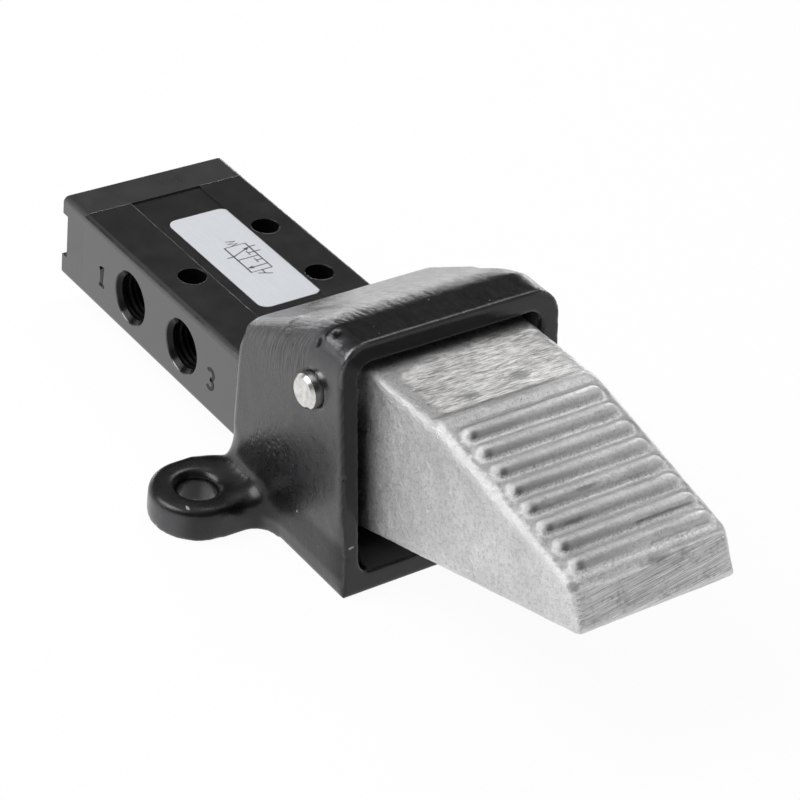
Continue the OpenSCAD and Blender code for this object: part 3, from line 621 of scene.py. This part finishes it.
def dress_housing():
    """The housing as a painted casting with soft edges, ground streaks, pits and chips."""
    hood = Casting("pedal_housing", "housing_casting", 0.55 * MM, 4)
    x, y, z = (hood.places / MM).T
    ridge_y = hood_high.y / MM - RIDGE_AHEAD_MM
    beside = np.abs(x) - WALL_X_MM
    ear_x = mounts["floor_bolts"]["dims"]["spacing_x_mm"] / 2
    # The ears' rear edges run out to the wall's rear corners
    behind = y - body_low.y / MM
    hood.places[:, 1] -= np.clip(behind, 0, None) * (1 - ramp_mask(beside, -1, 2.5)) * MM
    rear_corner = ramp_mask(beside, -3, -2) * ramp_mask(-beside, -1, -0.3) * ramp_mask(behind, -3, -2)
    hood.round_off(rear_corner * ramp_mask(z, 9, 12), 60)
    root = ramp_mask(beside, -0.9, 0.0) * ramp_mask(-beside, -7, -4)
    hood.round_off(root * ramp_mask(z, 4, 6) * ramp_mask(-z, -19, -13), 50)
    front_root = ramp_mask(beside, -0.8, 0.2) * ramp_mask(-beside, -10, -6) * ramp_mask(-y, 5, 8)
    hood.round_off(front_root * ramp_mask(z, 2.5, 4.5) * ramp_mask(-z, -15, -12), 100)
    from_hole = np.hypot(np.abs(x) - ear_x, y)
    hood.round_off(ramp_mask(beside, 0, 1) * ramp_mask(-z, -3, -2) * ramp_mask(from_hole, 6, 7), 10)
    nx, _, nz = hood.normals.T
    shell = (nx * np.sign(x) > 0.05) | (nz > 0.05)
    corner = ramp_mask(np.abs(x), 22, 25) * ramp_mask(z, 48, 51) * ramp_mask(y, -31.5, -29)
    hood.round_off(corner * shell, 24)
    ridge = ramp_mask(-np.abs(y - ridge_y), -8, -5) * ramp_mask(z, 49, 52) * ramp_mask(nz, 0.2, 0.4)
    hood.round_off(ridge, 160)
    nx, _, nz = hood.normals.T
    sideways = ramp_mask(nx * np.sign(x), 0.3, 0.7) * ramp_mask(beside, -4, -2)
    outward = np.maximum(sideways, ramp_mask(nz, 0.3, 0.7))
    swell = lattice_noise(hood.places, 7 * MM, 3) * 0.05 + lattice_noise(hood.places, 2.6 * MM, 5) * 0.02
    depth = hood.spread(swell * outward, 3) * ramp_mask(z, 2, 6)
    pits = np.zeros(len(x))
    # Casting pits in the upper corner of the left wall, and shallow ones lower down
    for place, radius, deep in (
        ((-28.0, -22.6, 55.5), 1.4, 0.5), ((-25.1, -25.1, 58.1), 1.1, 0.4), ((-29.1, -14.5, 50.5), 0.7, 0.25),
        ((-29.1, -12.4, 20.1), 0.6, 0.2), ((-29.1, -15.0, 22.4), 0.5, 0.2), ((-29.1, -9.8, 21.2), 0.5, 0.15),
    ):
        pit = hood.near(place, radius) ** 0.7
        depth -= deep * pit
        pits = np.maximum(pits, pit * (deep > 0.3))
    # Nicks in the left front edge
    for place in ((-28.9, -36.8, 29.0), (-28.8, -39.9, 9.8)):
        depth -= 0.5 * hood.near(place, (1.0, 1.0, 0.6))
    hood.push(depth * MM)
    nx, ny, nz = hood.normals.T
    roof = ramp_mask(nz, 0.5, 0.75) * ramp_mask(z, 38, 44)
    hood.mask("roof", roof * (0.3 + 0.7 * ramp_mask(-np.abs(y - ridge_y - 1.0), -9, -4)))
    wraps = ramp_mask(np.abs(nx), 0.06, 0.25) * ramp_mask(z, 33, 50) * ramp_mask(np.abs(x), 22, 25)
    hood.mask("side_streaks", wraps * ramp_mask(y, ridge_y - 8, ridge_y - 2))
    halfway_up = ramp_mask(-z, -32, -18) * ramp_mask(z, 10, 16)
    hood.mask("pitted", halfway_up * (np.abs(x) > 26) * ramp_mask(-np.abs(y + 13), -14, -6))
    ears = ramp_mask(beside, 0, 2)
    hood.mask("upright", np.maximum(ramp_mask(np.abs(nx), 0.75, 0.95) * ramp_mask(-z, -46, -36), ears))
    matt = np.maximum(ramp_mask(-ny, 0.5, 0.85), ramp_mask(nz, 0.85, 0.97) * ramp_mask(-y, -ridge_y, 8 - ridge_y))
    matt = np.maximum(matt, ears * ramp_mask(nz, 0.3, 0.5))
    hood.mask("matt", np.maximum(matt, front_root * ramp_mask(z, 3, 5) * ramp_mask(-z, -14, -11)))
    # A light line along the brow's front edge, partly worn paint and partly a painted highlight
    brow_edge = ramp_mask(hood.bulge(6), 0.22 * MM, 0.36 * MM) * (y < ridge_y - 8)
    hood.mask("worn", brow_edge * (z > 50))
    chip = np.zeros(len(x))
    # Chips in the paint, strong on the left and faint on the brow
    for place, radius, strength in (
        ((-26.9, -39.6, 12.1), (1.3, 0.7, 0.5), 1), ((-47.0, -6.1, 8.0), (0.6, 1.3, 0.8), 1),
        ((-29.1, -22.3, 11.4), 0.6, 0.8), ((-51.4, -0.9, 0.9), 0.6, 1), ((-17.6, -27.4, 58.8), 0.55, 0.4),
        ((-18.0, -29.8, 58.8), 0.6, 0.4), ((-15.5, -32.4, 56.6), (0.8, 0.6, 0.45), 0.45),
        ((12.0, -33.0, 56.0), 0.55, 0.35),
    ):
        chip = np.maximum(chip, strength * hood.near(place, radius))
    hood.mask("pit", pits * 1.6)
    hood.mask("chip", chip)
    hood.wear_skin(hood_paint(), "frame")


# The pedal's top line, from its toe's foot over both ends of the ramp to the flat: points of Y and Z
TOE_MM, RAMP_LOW_MM, RAMP_HIGH_MM, FLAT_MM = (-106.7, 33.1), (-101.75, 42.8), (-56.5, 52.7), (-53.5, 52.0)
# Half the pedal's width at its toe and at its pivot
HALF_W_MM = 20.6, 22.0
PIVOT_Y_MM = -23.5


def dress_pedal():
    """The pedal as a bare casting with worn edges, dirty dents, painted shade and highlights on its ribs, and a
    ground flat and toe.
    """
    cast = Casting("pedal", "pedal_casting", 0.49 * MM, 2)
    x, y, z = (cast.places / MM).T
    top = np.interp(y, *zip(TOE_MM, RAMP_LOW_MM, RAMP_HIGH_MM, FLAT_MM))
    flank = np.abs(x) - np.interp(y, (TOE_MM[0], PIVOT_Y_MM), HALF_W_MM)
    cast.round_off(ramp_mask(flank, -1.7, -1.1) * ramp_mask(z - top, -4.5, -3) * ramp_mask(y, -106, -103.5), 24)
    _, ny, nz = cast.normals.T
    streaky = lattice_noise(cast.places * np.array((0.2, 1, 1)), 1.0 * MM, 9)
    ragged = streaky + lattice_noise(cast.places, 4 * MM, 12)
    flat = ramp_mask(nz, 0.96, 0.99) * ramp_mask(y + 0.3 * streaky, -54.6, -53.4) * (z > 50)
    flat *= ramp_mask(np.where(x < 0, x + 17.3, 18.6 - x) + 1.1 * ragged, -1.2, 1.2)
    jags = lattice_noise(cast.places * np.array((1, 0.2, 1)), 1.2 * MM, 21)
    jags = jags + lattice_noise(cast.places, 6 * MM, 23)
    flat *= ramp_mask(-(y + 34.5 - 0.16 * x) - 1.8 * jags, -1.2, 1.2)
    toe = ramp_mask(-ny, 0.78, 0.86) * (y < -94)
    # The upper left of the toe stayed as cast
    patch = ramp_mask(z - 41.2 + 0.5 * ragged, -0.5, 0.5) * ramp_mask(-x + 1.0 + ragged, -0.6, 0.6)
    toe *= 1 - patch
    skin = lattice_noise(cast.places, 6 * MM, 1) * 0.08 + lattice_noise(cast.places, 2.2 * MM, 2) * 0.06
    skin += lattice_noise(cast.places, 0.95 * MM, 4) * 0.05
    outer = (np.abs(x) > 19) | (nz > 0.3) | (y < -95)
    level = np.maximum(ramp_mask(nz, 0.9, 0.97) * (y > -55) * (z > 50), ramp_mask(-ny, 0.7, 0.8) * (y < -94))
    depth = skin * (1 - 0.8 * level) * outer * (y < -30)
    stain = np.zeros(len(x))
    # Dents that hold dirt: on the toe's upper edge, between the ribs and on the flat
    for place, radius, deep in (
        ((-20.1, -101.7, 42.0), (3.0, 2.0, 1.6), 0.12), ((0.7, -102.3, 41.7), (6.0, 2.0, 1.6), 0.1),
        ((-3.0, -83.0, 48.3), (7.0, 0.7, 1.2), 0.1), ((-9.9, -88.9, 46.4), (6.0, 0.7, 1.2), 0.1),
        ((6.2, -48.5, 52.0), (6.0, 2.4, 1.5), 0.03), ((-7.8, -49.7, 52.0), (5.0, 2.2, 1.5), 0.03),
    ):
        spot = cast.near(place, radius)
        depth -= deep * spot
        stain = np.maximum(stain, spot)
    cast.push(depth * MM)
    edge = cast.spread(cast.bulge(10), 1)
    ribs = (np.abs(x) < 19.2) * (y < RAMP_HIGH_MM[0]) * (y > -101) * (nz > 0.2)
    nx, ny, nz = cast.normals.T
    slope = math.atan2(RAMP_HIGH_MM[1] - RAMP_LOW_MM[1], RAMP_HIGH_MM[0] - RAMP_LOW_MM[0])
    downhill = -ny * math.cos(slope) - nz * math.sin(slope)
    lift = (z - top) * math.cos(slope)
    cast.mask("worn", ramp_mask(edge, 0.10 * MM, 0.32 * MM) * (1 - 0.3 * ribs))
    deep = ramp_mask(-edge, 0.08 * MM, 0.3 * MM) * (1 - ribs * ramp_mask(downhill, -0.2, 0.0))
    # Darker in the gutter beside the ribs, painted shade at the ribs' feet, a painted shadow at the step at the
    # foot of the flat, an unground margin round its ground patch, and darker towards the left on the flat and the
    # ribs
    rough_edge = 0.5 + 0.5 * np.clip(ragged, -1, 1)
    gutter = ramp_mask(-np.abs(np.abs(x) - 19.3), -0.9, -0.3) * ramp_mask(nz, 0.3, 0.6)
    gutter *= (y < -56) * (y > -101.5)
    step = ramp_mask(-np.abs(y + 54.9 + 0.3 * streaky), -1.1, -0.4) * (nz > 0.5) * (z > 50)
    margin = ramp_mask(nz, 0.85, 0.95) * (y > -54.5) * (z > 50) * (1 - flat) * (y < -36)
    darkening = np.maximum(np.maximum(gutter * rough_edge, 0.6 * step), 0.5 * margin)
    darkening = np.maximum(darkening, 0.22 * flat * ramp_mask(-x, -6, 12))
    foot = ribs * ramp_mask(-lift, -0.75, -0.3) * ramp_mask(-downhill, -0.08, 0.06) * (y < -58)
    darkening = np.maximum(darkening, np.maximum(0.8 * foot, 0.3 * ribs * ramp_mask(-x, -6, 16)))
    cast.mask("deep", np.maximum(deep, darkening))
    near_side = ribs * ramp_mask(downhill, 0.1, 0.45) * ramp_mask(nx, -0.45, -0.15)
    cast.mask("shade", near_side * ramp_mask(lift, 0.3, 0.55) * (0.1 + 0.6 * ramp_mask(-x, -1, 14)))
    # Painted shade: a dark crescent beside each rib's left end
    cast.mask("pocket", near_side * ramp_mask(-x, 14.6, 16.2) * ramp_mask(lift, 0.15, 0.4))
    # Painted highlight on the ribs' left ends, which face the key lamp
    cast.mask("cap", ribs * ramp_mask(-nx, 0.25, 0.55) * ramp_mask(lift, 0.05, 0.3))
    # Painted glints on the valley floors between the ribs, which catch the overhead light
    cast.mask("valley_glint", ribs * ramp_mask(-lift, -0.6, -0.3) * ramp_mask(downhill, 0.0, 0.12) * (y < -58))
    # Lighter grainy band below the sides' top edges, partly a painted highlight from the key lamp
    cast.mask("band", ramp_mask(flank, -0.8, -0.2) * ramp_mask(z - top, -3.4, -1.2) * (y < -36) * (nz < 0.7))
    cast.mask("stain", stain)
    cast.mask("ground_flat", flat)
    cast.mask("ground_toe", toe)
    cast.wear_skin(cast_aluminium(), "pedal")


# Small pieces


def add_piece(name, bm, material, body):
    """A new piece of the scene from a bmesh, on one of the frame's bodies."""
    mesh = bpy.data.meshes.new(name)
    bmesh.ops.recalc_face_normals(bm, faces=bm.faces[:])
    bm.to_mesh(mesh)
    bm.free()
    mesh.materials.append(material)
    piece = bpy.data.objects.new(name, mesh)
    scene.collection.objects.link(piece)
    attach(piece, body)
    return piece


def add_thread(port, material):
    """A helical thread on a port's wall, from its bevel to its floor."""
    mount = mounts[port]
    centre, out = Vector(mount["pos_m"]), Vector(mount["axis"])
    wall, length = mount["dims"]["r_mm"] * MM, mount["dims"]["length_mm"] * MM
    pitch, height, sink = 1.34 * MM, 0.55 * MM, 0.05 * MM
    root, crest = 0.45, 0.12
    start, turns, per_turn = length / 2 - 0.7 * pitch, int(length / pitch) - 1, 48
    side = Vector((0, 1, 0))
    up = out.cross(side)
    bm = bmesh.new()
    rings = []
    for i in range(turns * per_turn + 1):
        angle = 2 * math.pi * i / per_turn
        ray = math.cos(angle) * side + math.sin(angle) * up
        fade = min(1.0, i / per_turn * 2, (turns * per_turn - i) / per_turn * 2)
        middle = centre + out * (start - pitch * i / per_turn)
        top = height * fade - sink
        profile = ((-root, -sink), (-crest, top), (crest, top), (root, -sink))
        rings.append([bm.verts.new(middle + out * (at * pitch) + ray * (wall - rise)) for at, rise in profile])
    for a, b in zip(rings, rings[1:]):
        for j in range(3):
            bm.faces.new((a[j], a[j + 1], b[j + 1], b[j]))
        bm.faces.new((a[3], a[0], b[0], b[3]))
    bm.faces.new(rings[0])
    bm.faces.new(rings[-1])
    piece = add_piece(port + "_thread", bm, material, "frame")
    piece.data.polygons.foreach_set("use_smooth", [False] * len(piece.data.polygons))


def ribbon(bm, points, width, lift, across, along, origin, up):
    """A flat stroke with mitred corners through points given along two directions on a face."""
    points = [Vector(p) for p in points]
    left, right = [], []
    for i, point in enumerate(points):
        ahead = (points[min(i + 1, len(points) - 1)] - points[max(i - 1, 0)]).normalized()
        if 0 < i < len(points) - 1:
            first = (point - points[i - 1]).normalized()
            second = (points[i + 1] - point).normalized()
            stretch = 1 / max(0.5, math.sqrt((1 + first.dot(second)) / 2))
        else:
            stretch = 1
        normal = Vector((-ahead.y, ahead.x)) * (width / 2 * stretch)
        left.append(point + normal)
        right.append(point - normal)

    def put(p, height):
        return bm.verts.new(origin + across * p.x + along * p.y + up * height)

    top = [(put(a, lift), put(b, lift)) for a, b in zip(left, right)]
    foot = [(put(a, 0), put(b, 0)) for a, b in zip(left, right)]
    for (a, b), (c, d), (e, f), (g, h) in zip(top, top[1:], foot, foot[1:]):
        bm.faces.new((a, b, d, c))
        bm.faces.new((a, c, g, e))
        bm.faces.new((b, f, h, d))
        bm.faces.new((e, g, h, f))
    for pair, base in ((top[0], foot[0]), (top[-1], foot[-1])):
        bm.faces.new((pair[0], base[0], base[1], pair[1]))


def arc(centre, radius, first, last, steps):
    """Points on an arc between two angles in degrees."""
    angles = [math.radians(first + (last - first) * i / steps) for i in range(steps + 1)]
    return [(centre[0] + radius * math.cos(a), centre[1] + radius * math.sin(a)) for a in angles]


NUMERAL_H, NUMERAL_PEN, NUMERAL_LIFT = 5.2 * MM, 0.92 * MM, 0.06 * MM
# Strokes of the port numbers, 2 wide and 4 high about their middle, in units of a quarter of the height
NUMERALS = {
    "1": [[(-0.7, 1.3), (0.1, 2.0), (0.1, -2.0)], [(-0.8, -2.0), (1.0, -2.0)]],
    "2": [arc((0, 1.0), 1.0, 165, -35, 12) + [(-1.0, -2.0), (1.05, -2.0)]],
    "3": [arc((-0.05, 1.0), 1.0, 150, -90, 12), arc((-0.05, -1.0), 1.0, 90, -150, 12)],
}


def add_numeral(figure, side, y, z, material):
    """A port number on the body's left or right face, read with the body's top upwards."""
    bm = bmesh.new()
    unit = NUMERAL_H / 4
    origin = Vector((body_low.x if side < 0 else body_high.x, y, z))
    along_face, upwards, outwards = Vector((0, side, 0)), Vector((0, 0, 1)), Vector((side, 0, 0))
    for stroke in NUMERALS[figure]:
        points = [(u * unit, v * unit) for u, v in stroke]
        ribbon(bm, points, NUMERAL_PEN, NUMERAL_LIFT, along_face, upwards, origin, outwards)
    add_piece("port_number_" + figure, bm, material, "frame")


LABEL_W, LABEL_L, LABEL_T, LABEL_CORNER = 17 * MM, 43 * MM, 0.18 * MM, 2.6 * MM
LABEL_X, LABEL_BACK = 1.9 * MM, 49.7 * MM
TRACK_DEPTH = 0.4 * MM
# Half the length and half the width of the symbol's boxes, its strokes' width and how far they stand up
SYMBOL_B, SYMBOL_H, SYMBOL_PEN, SYMBOL_LIFT = 6.0 * MM, 2.9 * MM, 0.3 * MM, 0.02 * MM


def add_label():
    """A bare plate in the track on the body's top, with a plain valve symbol."""
    top = body_high.z - TRACK_DEPTH
    middle = Vector((LABEL_X, LABEL_BACK, top))
    bm = bmesh.new()
    outline = []
    for cx, cy, first in ((1, 1, 0), (-1, 1, 90), (-1, -1, 180), (1, -1, 270)):
        corner = (cx * (LABEL_W / 2 - LABEL_CORNER), cy * (LABEL_L / 2 - LABEL_CORNER))
        outline += arc(corner, LABEL_CORNER, first, first + 90, 10)
    rows = []
    for inset, height in ((0.0, 0.0), (0.0, 0.7), (0.006, 1.0)):
        ring = [Vector((x * (1 - inset), y * (1 - inset), height * LABEL_T)) for x, y in outline]
        rows.append([bm.verts.new(middle + point) for point in ring])
    for low, high in zip(rows, rows[1:]):
        for i in range(len(low)):
            j = (i + 1) % len(low)
            bm.faces.new((low[i], low[j], high[j], high[i]))
    bm.faces.new(rows[-1])
    bm.faces.new(rows[0])
    add_piece("label_plate", bm, label_foil(), "frame")
    bm = bmesh.new()
    b, h = SYMBOL_B, SYMBOL_H
    origin = middle + Vector((0.6 * MM, -1.0 * MM, LABEL_T))
    strokes = [
        [(-b, -h), (b, -h), (b, h), (-b, h), (-b, -h)], [(0, -h), (0, h)],
        [(-0.68 * b, -h), (-0.68 * b, 0.5 * h)],
        [(-0.3 * b, -h), (-0.3 * b, -0.4 * h)], [(-0.46 * b, -0.4 * h), (-0.14 * b, -0.4 * h)],
        [(0.3 * b, h), (0.61 * b, -0.55 * h)],
        [(0.3 * b, -h), (0.3 * b, -0.4 * h)], [(0.14 * b, -0.4 * h), (0.46 * b, -0.4 * h)],
        [(0.3 * b, h), (0.3 * b, 1.6 * h)],
        [(0.3 * b, -h), (0.3 * b, -1.6 * h)], [(0.7 * b, -h), (0.7 * b, -1.6 * h)],
        [(b, 0.4 * h), (1.1 * b, -0.4 * h), (1.2 * b, 0.4 * h), (1.3 * b, -0.4 * h), (1.4 * b, 0.4 * h)],
        [(-b, 0), (-1.25 * b, 0)], [(-1.4 * b, -0.55 * h), (-1.15 * b, 0.55 * h)],
    ]
    east, north, up = Vector((0, 1, 0)), Vector((-1, 0, 0)), Vector((0, 0, 1))
    for stroke in strokes:
        ribbon(bm, stroke, SYMBOL_PEN, SYMBOL_LIFT, east, north, origin, up)
    for tip, tail in (((-0.68 * b, h), (-0.68 * b, 0.4 * h)), ((0.7 * b, -h), (0.59 * b, -0.45 * h))):
        along = Vector(tip) - Vector(tail)
        flank = Vector((-along.y, along.x)) * 0.32
        corners = [Vector(tip), Vector(tail) + flank, Vector(tail) - flank]
        feet = [origin + east * c.x + north * c.y for c in corners]
        rows = [[bm.verts.new(foot + up * lift) for foot in feet] for lift in (0, SYMBOL_LIFT)]
        bm.faces.new(rows[0])
        bm.faces.new(rows[1])
        for i in range(3):
            j = (i + 1) % 3
            bm.faces.new((rows[0][i], rows[0][j], rows[1][j], rows[1][i]))
    add_piece("label_symbol", bm, ink("label_ink", (0.05, 0.05, 0.055)), "frame")


def add_spring(material):
    """The return spring, which shortens by the spool's travel as the pedal goes down; here a still copy of the CAD
    coil on the frame.
    """
    mesh = nodes["return_spring"].data.copy()
    mesh.materials.clear()
    mesh.materials.append(material)
    coil = bpy.data.objects.new("return_spring_coil", mesh)
    scene.collection.objects.link(coil)
    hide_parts("return_spring")
    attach(coil, "frame")
    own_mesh(coil)


def dress_nodes():
    """Materials of the CAD nodes that show as they are, and the spring."""
    pin_centre = (0, pivot.y, pivot.z)
    valve_centre = (0, 0, (body_low.z + body_high.z) / 2)
    steel = turned_steel("pin_steel", (0.78, 0.77, 0.75), 0, pin_centre)
    spool_steel = turned_steel("spool_metal", (0.70, 0.70, 0.71), 1, valve_centre)
    brass = turned_steel("gland_brass", (0.72, 0.52, 0.24), 1, valve_centre)
    black_screw = plain_metal("screw_black", (0.07, 0.07, 0.075), 0.35, 0.5)
    spring = plain_metal("spring_steel", (0.48, 0.48, 0.50), 0.25, 0.4)
    seal = rubber()
    holes = [mounts[name] for name in PORTS]
    body = anodised("body_black", (0.0045, 0.0043, 0.0042), (0.006, 0.0057, 0.0055), 0.17, 0.23, ports=holes)
    cap = anodised("cap_black", (0.007, 0.0068, 0.0067), (0.009, 0.0087, 0.0085), 0.26, 0.33)
    looks = {
        "pivot_pin": steel, "plunger": spool_steel, "spool": spool_steel, "spring_seat": spool_steel,
        "plunger_gland": brass, "end_cap_screws": black_screw, "housing_screws": black_screw,
        "housing_washers": spring, "return_spring": spring, "valve_body": body, "end_cap": cap,
    }
    for name, part in nodes.items():
        part.data.materials.clear()
        part.data.materials.append(looks.get(name, seal))
    add_spring(spring)


add_camera()
add_stage()
add_light()
dress_nodes()
dress_housing()
dress_pedal()
thread_dark = plain_metal("thread_dark", (0.010, 0.010, 0.010), 0.5, 0.65)
for port in PORTS:
    add_thread(port, thread_dark)
mark = ink("stamped_mark", (0.006, 0.006, 0.006))
# Port number, side, Y and Z
for figure, side, y_mm, z_mm in (("1", -1, 73.4, 16.5), ("3", -1, 24.0, 16.2), ("2", 1, 61.5, 16.4)):
    add_numeral(figure, side, y_mm * MM, z_mm * MM, mark)
add_label()

scene.view_settings.view_transform = "Standard"
